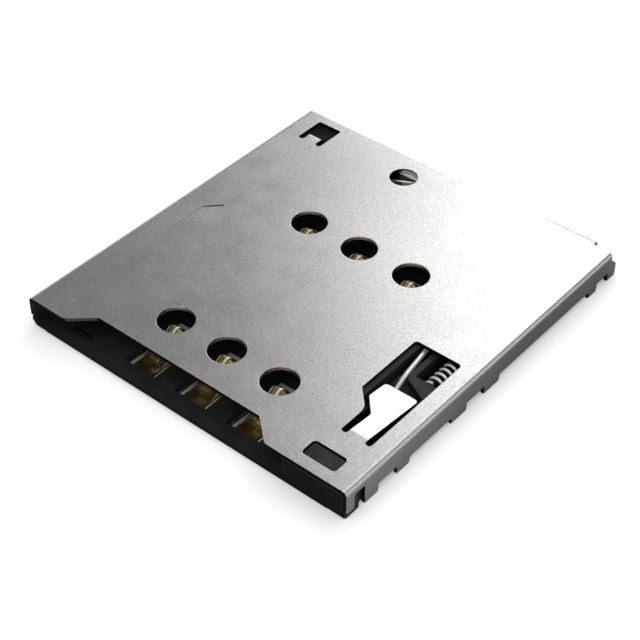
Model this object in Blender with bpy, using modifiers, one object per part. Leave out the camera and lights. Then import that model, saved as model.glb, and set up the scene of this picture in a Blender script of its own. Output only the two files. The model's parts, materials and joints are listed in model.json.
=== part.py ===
"""Push-push micro-SIM card socket, in metres with +Z up.

The origin is on the board, in the middle of the footprint. A card goes in along +Y from the open
front. The sheet-metal cover is a flat blank that is folded, the rest is moulded or stamped to fit it.
"""

import math

import bmesh
import bpy
from mathutils import Matrix, Vector

# Clearances
FIT = 0.00002
RUN = 0.00005

# Card slot
CARD_WIDTH = 0.012
CARD_SPACE = 0.00083
CARD_PLAY = 0.0001

# Walls of the housing, from left to right
LEFT_WALL = 0.00011
GUIDE_WALL = 0.00047
CHANNEL_WIDTH = 0.00225
RIGHT_WALL = 0.00017

# Cover sheet
SHEET = 0.00015
BEND = 0.00019
BEND_STEPS = 4

# Overall size
HEIGHT = 0.00127
LENGTH = 0.01675
SHELL_INSET = 0.00004
WIDTH = (
    CARD_WIDTH
    + CARD_PLAY
    + LEFT_WALL
    + GUIDE_WALL
    + CHANNEL_WIDTH
    + RIGHT_WALL
    + 2 * (SHEET + FIT)
)
FRONT = -LENGTH / 2
BACK = LENGTH / 2
UNDER = HEIGHT - SHEET

# Housing levels and places
STAND_OFF = 0.00002
END_RISE = 0.00003
END_WIDTH = 0.00082
FLOOR = UNDER - CARD_SPACE
HOUSING_TOP = UNDER - FIT
HOUSING_HALF = WIDTH / 2 - SHEET - FIT
HOUSING_BACK = BACK - 0.00042
CARD_LEFT = -HOUSING_HALF + LEFT_WALL
CARD_RIGHT = CARD_LEFT + CARD_WIDTH + CARD_PLAY
CHANNEL_LEFT = CARD_RIGHT + GUIDE_WALL
CHANNEL_RIGHT = CHANNEL_LEFT + CHANNEL_WIDTH
CHANNEL_FRONT = FRONT + 0.00142
CHANNEL_FLOOR = 0.00022
BACK_FACE = BACK - 0.00203
LEAD_IN = 0.00037
LEAD_DROP = 0.000085
LEAD_FLARE = 0.00024
POCKET_LEFT = CARD_LEFT + 0.00138
POCKET_FRONT = FRONT + 0.00044
POCKET_WIDTH = 0.00093
POCKET_LENGTH = 0.0003
POCKET_DEPTH = 0.00012

# Contacts
PITCH = 0.00254
ROW_PITCH = 0.00762
CONTACT_SHIFT = 0.00136
CONTACT_X = (CARD_LEFT + CARD_RIGHT) / 2 + CONTACT_SHIFT
ROW_INSET = 0.00267
FIRST_ROW = FRONT + ROW_INSET
HOLE_RADIUS = 0.000737
CONTACT_SHEET = 0.0001
RAIL = 0.0002
CONTACT_HALF = 0.00071
CONTACT_FRONT = 0.00198
CONTACT_BAR = 0.00035
TAIL_HALF = 0.00045
TAIL = 0.00035
BEAM_ROOT = 0.00158
BEAM_LENGTH = 0.00214
BEAM_HALF = 0.00044
BEAM_TIP_HALF = 0.00037
BEAM_FLAT = 0.00018
BEAM_SLOPE = 31.0
BEAM_NOSE = 0.00016
BEAM_NOSE_HALF = 0.00015
BEAM_STRAIGHT = 0.0006
BEAM_RELIEF = 0.00006
BEAM_TIP_GAP = 0.00004
CONTACT_BACK = BEAM_LENGTH - BEAM_ROOT + BEAM_TIP_GAP + CONTACT_BAR
CONTACT_LIP = 0.00007

# Creases of the contact beam, as a share of its length and the share of its slope that follows
BEAM_CREASES = ((0, 0.3), (0.07, 0.65), (0.14, 1), (0.783, 0.3), (0.82, -0.4), (0.867, -1), (0.914, -1.6))
SPOON_START = 0.3
SPOON_RUN = 0.4
SPOON_SLOPE = 0.6

# Windows of the housing round each contact
WINDOW_SIDE = 0.00007
WINDOW_FRONT = 0.00005
WINDOW_BACK = 0.00007

# Cover openings
CUT_DEPTH = 0.00091
CUT_LEFT = CARD_LEFT + 0.0016
CUT_RIGHT = CARD_RIGHT - 0.00056
CUT_CHAMFER = 0.001
SWITCH_HOLE = 0.00059
SWITCH_X = CARD_LEFT + 0.005884
SWITCH_Y = BACK - 0.00166
TAB_X = CARD_LEFT + 0.001247
TAB_HALF = 0.00032
TAB_SLOT = 0.000274
TAB_BACK = BACK - 0.000796
TAB_END = TAB_BACK - 0.00008
TAB_FRONT = BACK - 0.00226
TAB_FACE = BACK - 0.00166
LATCH_LEFT = CHANNEL_LEFT + 0.000177
LATCH_WIDTH = 0.001483
LATCH_FRONT = FRONT + 0.000523
LATCH_LENGTH = 0.000757
LATCH_RISE = 0.00011
LATCH_FLAT = 0.00025
FOLD_LEFT = CHANNEL_LEFT - 0.00066
FOLD_WIDTH = 0.00235
FOLD_DROP = 0.0009
TOP_BACK = BACK - 0.000375
FOLD_BACK = BACK - 0.00002
MARK_X = CARD_LEFT + 0.00088
MARK_Y = FRONT + 0.00622
MARK_LENGTH = 0.0021
MARK_STEP = 0.0006
MARK_LINE = 0.00003
MARK_DIAGONAL = 0.00009
MARK_DEPTH = 0.00002

# Slider window and the tongue that presses the link
OPENING_LEFT = CHANNEL_LEFT - 0.00022
OPENING_RIGHT = CHANNEL_LEFT + 0.001844
OPENING_BACK = FRONT + 0.007474
OPENING_CORNER = FRONT + 0.00432
TONGUE_SLOT = 0.000267
TONGUE_LEFT = CHANNEL_LEFT + 0.0008
TONGUE_RIGHT = OPENING_RIGHT - TONGUE_SLOT
TONGUE_WIDE = CHANNEL_LEFT + 0.00012
TONGUE_SHOULDER = OPENING_CORNER - (TONGUE_LEFT - TONGUE_SLOT - OPENING_LEFT)
TONGUE_ROOT = FRONT + 0.00232
TONGUE_BEND = FRONT + 0.002437
TONGUE_TIP = FRONT + 0.00529
TONGUE_SLOPE = 6.35
SHOULDER_ROUND = 0.0006

# Side walls, as distances from the front and depths below the top
FEET = (
    (0.00103, 0.00173, 0.0009),
    (0.00279, 0.00347, 0.001),
    (0.00592, 0.00682, 0.00088),
    (0.00791, 0.00884, 0.00098),
)
BACK_FEET = ((0.00191, 0.00136, 0.00086), (0.00056, 0, 0))
FOOT_RAMP = 0.00004
NOSE_DEPTH = 0.00103
NOTCH_FRONT = 0.00046
NOTCH_DEPTH = 0.00037
POST_LENGTH = 0.00026
LEFT_NOSE_DEPTH = 0.00083
LEFT_NOSE = 0.0004
LUG_INSET = 0.00011
LUG_CHAMFER = 0.00018
WALL_SHOULDER = 0.00068
WALL_NECK = 0.00033

# Slider
TRAVEL = 0.0026
SLIDER_FRONT = CHANNEL_FRONT + RUN
SLIDER_BACK = FRONT + 0.00617
SLIDER_TOP = HEIGHT - 0.00025
SLIDER_BOTTOM = CHANNEL_FLOOR + FIT
DECK = 0.00065
STEP_LEFT = CHANNEL_LEFT + 0.00061
STEP_Y = FRONT + 0.00591
STEP_SLOPE = 27.0
ARM_LEFT = CHANNEL_LEFT + 0.0005
ARM_WIDTH = 0.00025
HOOK_REACH = 0.00039
HOOK_LENGTH = 0.0006
HOOK_BACK = BACK_FACE + 0.00045 - TRAVEL
TRACK_FLOOR = 0.0004
TRACK_PLAY = 0.00004
TRACK_RAMP = 0.0004
TRACK_REACH = 0.00095
TRACK_MOUTH = 0.0007
TRACK_TURN = 0.0005
HEART_FRONT = 0.0005
HEART_NOTCH = 0.00018
HEART_SIDE = 0.0006
HEART_TIP = 0.00062

# Spring behind the slider
SPRING_RADIUS = (UNDER - CHANNEL_FLOOR) / 2 - FIT
SPRING_WIRE = 0.00014
SPRING_SHIFT = 0.00003
SPRING_X = (ARM_LEFT + ARM_WIDTH + CHANNEL_RIGHT) / 2 - SPRING_SHIFT
SPRING_Z = (CHANNEL_FLOOR + UNDER) / 2
SPRING_WALL = BACK - 0.0029
SPRING_TURNS = 26
TURN_STEPS = 12

# Steel link between the pivot in the guide wall and the heart track
LINK_WIRE = 0.0001
LINK_Z = HEIGHT - 0.0003
PIVOT_X = CHANNEL_LEFT - 0.0001
PIVOT_GAP = 0.0027
PIVOT_Y = HOOK_BACK - HOOK_LENGTH - PIVOT_GAP
PIVOT_BOSS = 0.00026
PIVOT_DEPTH = 0.00045
GROOVE_FLARE = 1.6
PIN_X = CHANNEL_LEFT + 0.0005
PIN_Y = FRONT + 0.00512
PIN_BOTTOM = 0.00045
LINK_KNEE_X = CHANNEL_LEFT + 0.00036
LINK_KNEE_Y = FRONT + 0.006
LINK_DIP = 0.00034
LINK_ROUND = 0.00014
TRACK_SHIFT = 0.00014

# Card switch
SWITCH_SHEET = 0.00008
LEAF_ANCHOR_X = SWITCH_X - 0.0031
LEAF_TOUCH_X = SWITCH_X - 0.00115
LEAF_END_X = SWITCH_X + 0.00036
LEAF_ANCHOR_Y = BACK_FACE + 0.0006
LEAF_TOUCH_Y = BACK_FACE - 0.00008
LEAF_END_Y = BACK_FACE + 0.0007
LEAF_FOOT = 0.0003
LEAF_BUMP = 0.00012
LEAF_BOTTOM = 0.00042
LEAF_TOP = HEIGHT - 0.0003
PLATE_LEFT = SWITCH_X - 0.00056
PLATE_WIDTH = 0.00094
PLATE_FRONT = BACK_FACE + 0.00083
PLATE_TOP = HEIGHT - 0.00024
PLATE_REACH = 0.0004

# Corner radii
WIDE_CORNER = 0.00025
CORNER = 0.00015
SMALL_CORNER = 0.0001
TIGHT_CORNER = 0.00004
ARC_STEPS = 4
MOST_OF_A_SIDE = 0.48
HOLE_STEPS = 28
PIN_STEPS = 16
SHARP_ANGLE = math.radians(30)

# The outline fill merges points nearer than 0.03 mm, so outlines are filled a thousand times larger,
# and turned, because it leaves flat triangles between points that share a height
FILL_SCALE = 1000
FILL_TURN = Matrix.Rotation(0.37, 4, "Z") @ Matrix.Scale(FILL_SCALE, 4)
WELD = 1e-7
SNAP_PLACES = 8
FLAT = math.radians(1)
OUTSIDE = 0.001


def clear_scene():
    for obj in list(bpy.data.objects):
        bpy.data.objects.remove(obj)


def collection(name, hidden=False):
    made = bpy.data.collections.new(name)
    made.hide_render = hidden
    bpy.context.scene.collection.children.link(made)
    return made


clear_scene()
PARTS = collection("sim_card_socket")
CUTTERS = collection("cutters", hidden=True)


def finish(name, colour, roughness, metallic):
    material = bpy.data.materials.new(name)
    material.use_nodes = True
    shader = material.node_tree.nodes["Principled BSDF"]
    shader.inputs["Base Color"].default_value = (*colour, 1)
    shader.inputs["Roughness"].default_value = roughness
    shader.inputs["Metallic"].default_value = metallic
    return material


# Outlines


def circle(x, y, radius, steps=HOLE_STEPS):
    turns = [2 * math.pi * i / steps for i in range(steps)]
    return [(x + radius * math.cos(a), y + radius * math.sin(a)) for a in turns]


def box(left, right, front, back):
    return [(left, front), (right, front), (right, back), (left, back)]


def rounded(corners, steps=ARC_STEPS):
    """A closed outline with arcs at its corners. A corner is x, y and the radius there, or x and y."""
    outline = []
    for i, corner in enumerate(corners):
        here = Vector(corner[:2])
        radius = corner[2] if len(corner) > 2 else 0
        before = Vector(corners[i - 1][:2]) - here
        after = Vector(corners[(i + 1) % len(corners)][:2]) - here
        half = before.angle(after) / 2
        if radius == 0 or math.pi / 2 - half < FLAT:
            outline.append(tuple(here))
            continue
        room = MOST_OF_A_SIDE * min(before.length, after.length)
        reach = min(radius / math.tan(half), room)
        radius = reach * math.tan(half)
        middle = here + (before.normalized() + after.normalized()).normalized() * radius / math.sin(half)
        start = here + before.normalized() * reach - middle
        sweep = start.angle_signed(here + after.normalized() * reach - middle)
        for step in range(steps + 1):
            outline.append(tuple(middle + Matrix.Rotation(-sweep * step / steps, 2) @ start))
    return outline


def rounded_box(left, right, front, back, radius):
    return rounded([(x, y, radius) for x, y in box(left, right, front, back)])


# Solids from outlines


def fill(loops, thickness):
    """The mesh of a 2D curve through closed outlines, where an outline inside another is a hole."""
    curve = bpy.data.curves.new("outline", "CURVE")
    curve.dimensions = "2D"
    curve.fill_mode = "BOTH"
    curve.extrude = thickness * FILL_SCALE / 2
    for loop in loops:
        spline = curve.splines.new("POLY")
        spline.points.add(len(loop) - 1)
        for point, (x, y) in zip(spline.points, loop):
            point.co = (*(FILL_TURN @ Vector((x, y, 0))), 1)
        spline.use_cyclic_u = True
    guide = bpy.data.objects.new("outline", curve)
    PARTS.objects.link(guide)
    graph = bpy.context.evaluated_depsgraph_get()
    mesh = bpy.data.meshes.new_from_object(guide.evaluated_get(graph))
    bpy.data.objects.remove(guide)
    mesh.transform(FILL_TURN.inverted())
    form = bmesh.new()
    form.from_mesh(mesh)
    bpy.data.meshes.remove(mesh)
    bmesh.ops.remove_doubles(form, verts=form.verts, dist=WELD)
    bmesh.ops.dissolve_limit(form, angle_limit=FLAT, verts=form.verts, edges=form.edges)
    bmesh.ops.recalc_face_normals(form, faces=form.faces)
    return form


def add_object(name, form, material=None):
    for corner in form.verts:
        corner.co = [round(value, SNAP_PLACES) for value in corner.co]
    mesh = bpy.data.meshes.new(name)
    form.to_mesh(mesh)
    form.free()
    obj = bpy.data.objects.new(name, mesh)
    if material:
        mesh.materials.append(material)
        mesh.shade_smooth()
        mesh.set_sharp_from_angle(angle=SHARP_ANGLE)
        PARTS.objects.link(obj)
    else:
        obj.hide_render = True
        obj.display_type = "WIRE"
        CUTTERS.objects.link(obj)
    return obj


def prism(name, loops, low, high, axis="Z", material=None):
    """Outlines extruded along an axis. The outline's plane is XY for Z, YZ for X and ZX for Y."""
    form = fill(loops, high - low)
    turn = {
        "Z": Matrix(((1, 0, 0), (0, 1, 0), (0, 0, 1))),
        "X": Matrix(((0, 0, 1), (1, 0, 0), (0, 1, 0))),
        "Y": Matrix(((0, 1, 0), (0, 0, 1), (1, 0, 0))),
    }[axis]
    form.transform(turn.to_4x4() @ Matrix.Translation((0, 0, (low + high) / 2)))
    return add_object(name, form, material)


def combine(obj, operation, others):
    for other in others:
        modifier = obj.modifiers.new(other.name, "BOOLEAN")
        modifier.operation = operation
        modifier.object = other


def set_origin(obj, point):
    obj.data.transform(Matrix.Translation(-Vector(point)))
    obj.location = point


# Sheet metal: a flat open surface, creased, folded and then given its thickness


def crease(form, across, place, where=None):
    """Splits faces along a straight line at a place along X or Y, for all faces or only where it holds."""
    faces = [f for f in form.faces if where is None or where(*f.calc_center_median().xy)]
    edges = {e for f in faces for e in f.edges}
    corners = {v for f in faces for v in f.verts}
    direction = (1, 0, 0) if across == "X" else (0, 1, 0)
    point = Vector(direction) * place
    bmesh.ops.bisect_plane(
        form,
        geom=[*corners, *edges, *faces],
        dist=WELD,
        plane_co=point,
        plane_no=direction,
    )


def thicken(obj, thickness):
    modifier = obj.modifiers.new("thickness", "SOLIDIFY")
    modifier.thickness = thickness
    modifier.offset = -1
    modifier.use_even_offset = True
    return obj


def face_up(form):
    """Joins what stayed flat after the fold and turns the outside up."""
    form.normal_update()
    bmesh.ops.dissolve_limit(form, angle_limit=FLAT, verts=form.verts, edges=form.edges)
    bmesh.ops.recalc_face_normals(form, faces=form.faces)
    if sum(face.normal.z * face.calc_area() for face in form.faces) < 0:
        bmesh.ops.reverse_faces(form, faces=form.faces)
    bmesh.ops.triangulate(form, faces=form.faces)


ARC = BEND * math.pi / 2
SIDE_BEND = WIDTH / 2 - BEND
FOLD_BEND = FOLD_BACK - BEND
TAB_BEND = TAB_FACE - BEND


def blank_x(depth):
    """How far from the middle a point of a side wall lies in the flat blank, from its depth below the top."""
    return SIDE_BEND + ARC + depth - BEND


def bent(distance):
    """Where a point ends up that lies this far past the start of a right-angle bend: (along, down)."""
    if distance < ARC:
        turn = distance / BEND
        return BEND * math.sin(turn), BEND * (1 - math.cos(turn))
    return BEND, BEND + distance - ARC


def on_tongue(x, y):
    """Whether a point of the blank is on the tongue, right of the middle of the slot round it."""
    step = OPENING_CORNER - TONGUE_SHOULDER
    share = min(max((y - TONGUE_SHOULDER) / step, 0), 1)
    left = TONGUE_LEFT + share * (TONGUE_WIDE - TONGUE_LEFT) - TONGUE_SLOT / 2
    return left < x < TONGUE_RIGHT + TONGUE_SLOT / 2 and TONGUE_BEND < y < TONGUE_TIP + FIT


def on_tab(x, y):
    return abs(x - TAB_X) < TAB_HALF + FIT and TAB_BEND < y < TAB_BACK - FIT


def on_fold(x, y):
    return abs(x) < SIDE_BEND and y > FOLD_BEND


def fold_shell(x, y):
    """Where a point of the flat blank lies on the folded cover."""
    if abs(x) > SIDE_BEND:
        along, down = bent(abs(x) - SIDE_BEND)
        return math.copysign(SIDE_BEND + along, x), y, HEIGHT - down
    if on_fold(x, y):
        along, down = bent(y - FOLD_BEND)
        return x, FOLD_BEND + along, HEIGHT - down
    if on_tab(x, y):
        along, down = bent(y - TAB_BEND)
        return x, TAB_BEND + along, HEIGHT - down
    if on_tongue(x, y):
        slope = math.radians(TONGUE_SLOPE)
        reach = y - TONGUE_BEND
        return x, TONGUE_BEND + reach * math.cos(slope), HEIGHT - reach * math.sin(slope)
    return x, y, HEIGHT


def wall_edge(side):
    """The lower edge of a side wall from front to back, as corners of the flat blank."""
    front = FRONT + SHELL_INSET
    if side > 0:
        notch = FRONT + NOTCH_FRONT
        edge = [(front, NOSE_DEPTH, SMALL_CORNER), (notch, NOSE_DEPTH)]
        edge += [(notch, NOTCH_DEPTH, SMALL_CORNER), (FRONT + FEET[0][0], NOTCH_DEPTH, SMALL_CORNER)]
    else:
        nose = FRONT + LEFT_NOSE
        edge = [(front, LEFT_NOSE_DEPTH), (nose, LEFT_NOSE_DEPTH)]
        edge += [(nose, NOSE_DEPTH), (FRONT + FEET[0][0], NOSE_DEPTH)]
    feet = [(FRONT + start, FRONT + end, recess) for start, end, recess in FEET]
    feet += [(BACK - start, BACK - end, recess) for start, end, recess in BACK_FEET]
    for i, (start, end, recess) in enumerate(feet):
        edge += [(start, HEIGHT), (end, HEIGHT, TIGHT_CORNER)]
        if i + 1 < len(feet):
            edge += [(end + FOOT_RAMP, recess, TIGHT_CORNER), (feet[i + 1][0], recess, TIGHT_CORNER)]
    edge += [(BACK, WALL_SHOULDER, SMALL_CORNER), (TOP_BACK, WALL_NECK, SMALL_CORNER)]
    edge += [(TOP_BACK, BEND)]
    return [(side * blank_x(depth), y, *radius) for y, depth, *radius in edge]


def shell_outline():
    front = FRONT + SHELL_INSET
    cut = FRONT + CUT_DEPTH
    outline = [(CUT_LEFT, front, WIDE_CORNER), (CUT_LEFT + CUT_CHAMFER, cut, CORNER)]
    outline += [(CUT_RIGHT - CUT_CHAMFER, cut, CORNER), (CUT_RIGHT, front, WIDE_CORNER)]
    outline += wall_edge(1)
    right = FOLD_LEFT + FOLD_WIDTH
    end = FOLD_BEND + ARC + FOLD_DROP - BEND
    outline += [(right, TOP_BACK), (right, end, CORNER), (FOLD_LEFT, end, CORNER), (FOLD_LEFT, TOP_BACK)]
    outline += reversed(wall_edge(-1))
    return rounded(outline)


def tab_opening():
    """The U-shaped cut round the back-left tab, with round slot ends."""
    outer = TAB_HALF + TAB_SLOT
    end = TAB_SLOT / 2
    corners = [(-outer, TAB_FRONT, end), (-TAB_HALF, TAB_FRONT, end)]
    corners += [(-TAB_HALF, TAB_END), (TAB_HALF, TAB_END)]
    corners += [(TAB_HALF, TAB_FRONT, end), (outer, TAB_FRONT, end)]
    corners += [(outer, TAB_BACK, SMALL_CORNER), (-outer, TAB_BACK, SMALL_CORNER)]
    return rounded([(TAB_X + x, *rest) for x, *rest in corners])


def slider_opening():
    """The window over the slider, round the outline of the tongue."""
    end = TONGUE_SLOT / 2
    foot = TONGUE_ROOT - end
    slot_left = TONGUE_LEFT - TONGUE_SLOT
    corners = [(slot_left, foot, end), (TONGUE_LEFT, foot, end)]
    corners += [(TONGUE_LEFT, TONGUE_SHOULDER, WIDE_CORNER), (TONGUE_WIDE, OPENING_CORNER, CORNER)]
    corners += [(TONGUE_WIDE, TONGUE_TIP, CORNER), (TONGUE_RIGHT, TONGUE_TIP, CORNER)]
    corners += [(TONGUE_RIGHT, foot, end), (OPENING_RIGHT, foot, end)]
    corners += [(OPENING_RIGHT, OPENING_BACK, CORNER), (OPENING_LEFT, OPENING_BACK, CORNER)]
    corners += [(OPENING_LEFT, OPENING_CORNER, CORNER), (slot_left, TONGUE_SHOULDER, SHOULDER_ROUND)]
    return rounded(corners)


def contact_places():
    for row in range(2):
        for column in range(3):
            yield row, column, CONTACT_X + (column - 1) * PITCH, FIRST_ROW + row * ROW_PITCH


def make_shell():
    loops = [shell_outline(), tab_opening(), slider_opening(), circle(SWITCH_X, SWITCH_Y, SWITCH_HOLE)]
    loops += [circle(x, y, HOLE_RADIUS) for _, _, x, y in contact_places()]
    latch = (LATCH_LEFT, LATCH_LEFT + LATCH_WIDTH, LATCH_FRONT, LATCH_FRONT + LATCH_LENGTH)
    loops.append(rounded_box(*latch, CORNER))
    form = fill(loops, 0)
    bends = [ARC * i / BEND_STEPS for i in range(BEND_STEPS + 1)]
    for past in bends:
        crease(form, "X", SIDE_BEND + past)
        crease(form, "X", -SIDE_BEND - past)
        crease(form, "Y", FOLD_BEND + past, on_fold if past else None)
        crease(form, "Y", TAB_BEND + past, on_tab if past else None)
    crease(form, "Y", TONGUE_BEND)
    for corner in form.verts:
        corner.co = fold_shell(corner.co.x, corner.co.y)
    face_up(form)
    steel = finish("stainless", (0.72, 0.71, 0.69), 0.3, 1)
    shell = thicken(add_object("shell", form, steel), SHEET)
    combine(shell, "DIFFERENCE", [make_mark()])


def make_mark():
    """The engraved line that shows how the card's cut corner goes."""
    half = MARK_LINE / 2
    wide = MARK_DIAGONAL / 2 / math.sqrt(2)
    knee = MARK_Y + MARK_LENGTH
    outline = [(MARK_X - half, MARK_Y), (MARK_X + half, MARK_Y), (MARK_X + half, knee - wide)]
    outline += [(MARK_X + wide, knee - wide), (MARK_X + MARK_STEP + wide, knee + MARK_STEP - wide)]
    outline += [(MARK_X + MARK_STEP - wide, knee + MARK_STEP + wide), (MARK_X - half, knee + half)]
    return prism("mark_cutter", [outline], HEIGHT - MARK_DEPTH, HEIGHT + OUTSIDE)


# Contacts: one stamping, six times


def beam_creases():
    """The creases of the contact beam: distance from its root in the flat, and the slope that follows."""
    return [(BEAM_LENGTH * share, BEAM_SLOPE * turn) for share, turn in BEAM_CREASES]


def along_beam(distance):
    """Follows the creases: (forward, up) at a distance from the root along the beam."""
    creases = beam_creases()
    forward = up = 0
    for i, (start, slope) in enumerate(creases):
        end = creases[i + 1][0] if i + 1 < len(creases) else math.inf
        step = min(distance, end) - start
        if step <= 0:
            break
        forward += step * math.cos(math.radians(slope))
        up += step * math.sin(math.radians(slope))
    return forward, up


def on_beam(x, y):
    return abs(x) < BEAM_HALF + FIT and 0 < y + BEAM_ROOT < BEAM_LENGTH + FIT


def fold_contact(x, y):
    """Lifts the beam out of the flat stamping, with its sides turned down near the tip."""
    if not on_beam(x, y):
        return x, y, CONTACT_SHEET
    distance = y + BEAM_ROOT
    forward, up = along_beam(distance)
    spoon = min(max((distance / BEAM_LENGTH - SPOON_START) / SPOON_RUN, 0), 1)
    drop = max(abs(x) - BEAM_FLAT, 0) * SPOON_SLOPE * spoon
    return x, forward - BEAM_ROOT, CONTACT_SHEET + up - drop


def contact_outline():
    """The frame of the stamping: two rails with round front ends, and a solder tail at each end."""
    rail = CONTACT_HALF - RAIL
    end = RAIL / 2
    lip = CONTACT_LIP - CONTACT_FRONT
    right = [(TAIL_HALF, -CONTACT_FRONT - TAIL, TIGHT_CORNER), (TAIL_HALF, lip, 0)]
    right += [(rail, lip, TIGHT_CORNER), (rail, -CONTACT_FRONT, end), (CONTACT_HALF, -CONTACT_FRONT, end)]
    right += [(CONTACT_HALF, CONTACT_BACK, SMALL_CORNER), (TAIL_HALF, CONTACT_BACK, TIGHT_CORNER)]
    right += [(TAIL_HALF, CONTACT_BACK + TAIL, TIGHT_CORNER)]
    return rounded(right + [(-x, y, radius) for x, y, radius in reversed(right)])


def beam_slot():
    """The cut that frees the beam from its frame, with the beam's outline on its inner side."""
    inside = CONTACT_HALF - RAIL
    root = -BEAM_ROOT - BEAM_RELIEF
    tip = BEAM_LENGTH - BEAM_ROOT
    half = [(BEAM_NOSE_HALF, tip, SMALL_CORNER), (BEAM_TIP_HALF, tip - BEAM_NOSE, SMALL_CORNER)]
    half += [(BEAM_TIP_HALF, tip - BEAM_STRAIGHT), (BEAM_HALF, root, 0)]
    half += [(inside, root, 0), (inside, tip + BEAM_TIP_GAP, TIGHT_CORNER)]
    corners = [(-x, y, *radius) for x, y, *radius in reversed(half)]
    return rounded(half + corners)


def make_contacts():
    gold = finish("gold_plate", (0.78, 0.6, 0.3), 0.28, 1)
    for row, column, x, y in contact_places():
        form = fill([contact_outline(), beam_slot()], 0)
        for distance, _ in beam_creases():
            crease(form, "Y", distance - BEAM_ROOT)
        for side in (-1, 1):
            crease(form, "X", side * BEAM_FLAT, on_beam)
        for corner in form.verts:
            corner.co = fold_contact(corner.co.x, corner.co.y)
        face_up(form)
        name = f"contact_{('front', 'back')[row]}_{column + 1}"
        contact = thicken(add_object(name, form, gold), CONTACT_SHEET)
        contact.location = (x, y, 0)


# Card switch


def strip(points, thickness):
    """The outline of a thin strip that follows points, with the thickness split over both sides."""
    sides = [[], []]
    for i, point in enumerate(points):
        here = Vector(point)
        before = here - Vector(points[i - 1]) if i else Vector(points[1]) - here
        after = Vector(points[i + 1]) - here if i + 1 < len(points) else before
        along = (before.normalized() + after.normalized()).normalized()
        half = thickness / 2 / along.dot(before.normalized())
        for side, sign in zip(sides, (1, -1)):
            side.append(tuple(here + sign * half * Vector((-along.y, along.x))))
    return sides[0] + sides[1][::-1]


def make_switch():
    silvered = finish("switch_spring", (0.8, 0.76, 0.66), 0.25, 1)
    half = SWITCH_SHEET / 2
    left = LEAF_ANCHOR_X - LEAF_FOOT
    path = [(left, LEAF_ANCHOR_Y), (LEAF_ANCHOR_X, LEAF_ANCHOR_Y)]
    path += [(LEAF_TOUCH_X - LEAF_BUMP, LEAF_TOUCH_Y + half), (LEAF_TOUCH_X, LEAF_TOUCH_Y)]
    path += [(LEAF_TOUCH_X + LEAF_BUMP, LEAF_TOUCH_Y + half), (LEAF_END_X, LEAF_END_Y)]
    leaf = prism("switch_leaf", [strip(path, SWITCH_SHEET)], LEAF_BOTTOM, LEAF_TOP, material=silvered)
    foot = box(left, LEAF_ANCHOR_X, LEAF_ANCHOR_Y - half, LEAF_ANCHOR_Y + half)
    stem = prism("leaf_stem", [foot], CONTACT_SHEET / 2, (LEAF_BOTTOM + LEAF_TOP) / 2)
    pad = box(left, LEAF_ANCHOR_X, LEAF_ANCHOR_Y - half, HOUSING_BACK)
    combine(leaf, "UNION", [stem, prism("leaf_tail", [pad], 0, CONTACT_SHEET)])
    front = PLATE_FRONT + half
    top = PLATE_TOP - half
    profile = [(HOUSING_BACK, half), (front + half, half), (front, 2 * half)]
    profile += [(front, top - half), (front + half, top), (front + PLATE_REACH, top)]
    plate = [strip(profile, SWITCH_SHEET)]
    prism("switch_plate", plate, PLATE_LEFT, PLATE_LEFT + PLATE_WIDTH, "X", silvered)


# Housing


def contact_cutters():
    for row, column, x, y in contact_places():
        half = CONTACT_HALF + WINDOW_SIDE
        window = box(x - half, x + half, y - CONTACT_FRONT - WINDOW_FRONT, y + CONTACT_BACK - WINDOW_BACK)
        yield prism(f"window_{row}_{column}", [window], -OUTSIDE, FLOOR + FIT)
        half = CONTACT_HALF + FIT
        ends = TAIL + FIT
        seat = box(x - half, x + half, y - CONTACT_FRONT - ends, y + CONTACT_BACK + ends)
        yield prism(f"seat_{row}_{column}", [seat], -OUTSIDE, CONTACT_SHEET + FIT)


def card_cutters():
    flare = CARD_RIGHT + LEAD_FLARE
    card = [(CARD_LEFT, FRONT - OUTSIDE), (flare, FRONT - OUTSIDE), (flare, FRONT)]
    card += [(CARD_RIGHT, FRONT + LEAD_IN), (CARD_RIGHT, BACK_FACE, CORNER), (CARD_LEFT, BACK_FACE, CORNER)]
    yield prism("card_cutter", [rounded(card)], FLOOR, HEIGHT + OUTSIDE)
    slope = LEAD_DROP / LEAD_IN
    wedge = [(FRONT - LEAD_IN, FLOOR - LEAD_DROP - slope * LEAD_IN), (FRONT + LEAD_IN, FLOOR)]
    wedge += [(FRONT + LEAD_IN, FLOOR + SHEET), (FRONT - LEAD_IN, FLOOR + SHEET)]
    yield prism("lead_in_cutter", [wedge], CARD_LEFT, CARD_RIGHT + LEAD_FLARE / 2, "X")
    pocket = box(POCKET_LEFT, POCKET_LEFT + POCKET_WIDTH, POCKET_FRONT, POCKET_FRONT + POCKET_LENGTH)
    yield prism("floor_pocket", [pocket], FLOOR - POCKET_DEPTH, FLOOR + FIT)


def channel_cutters():
    lane = ARM_LEFT + ARM_WIDTH + RUN
    end = HOOK_BACK + TRAVEL + RUN
    rib = SPRING_X + SPRING_RADIUS + RUN
    free = SLIDER_BACK + TRAVEL + RUN
    channel = [(CHANNEL_LEFT, CHANNEL_FRONT), (CHANNEL_RIGHT, CHANNEL_FRONT), (CHANNEL_RIGHT, free)]
    channel += [(rib, free), (rib, SPRING_WALL), (lane, SPRING_WALL), (lane, end), (CHANNEL_LEFT, end)]
    yield prism("channel_cutter", [channel], CHANNEL_FLOOR, HEIGHT + OUTSIDE)
    way = box(CARD_RIGHT - HOOK_REACH - RUN, lane, HOOK_BACK - HOOK_LENGTH - RUN, end)
    yield prism("hook_cutter", [way], FLOOR, HEIGHT + OUTSIDE)


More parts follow.
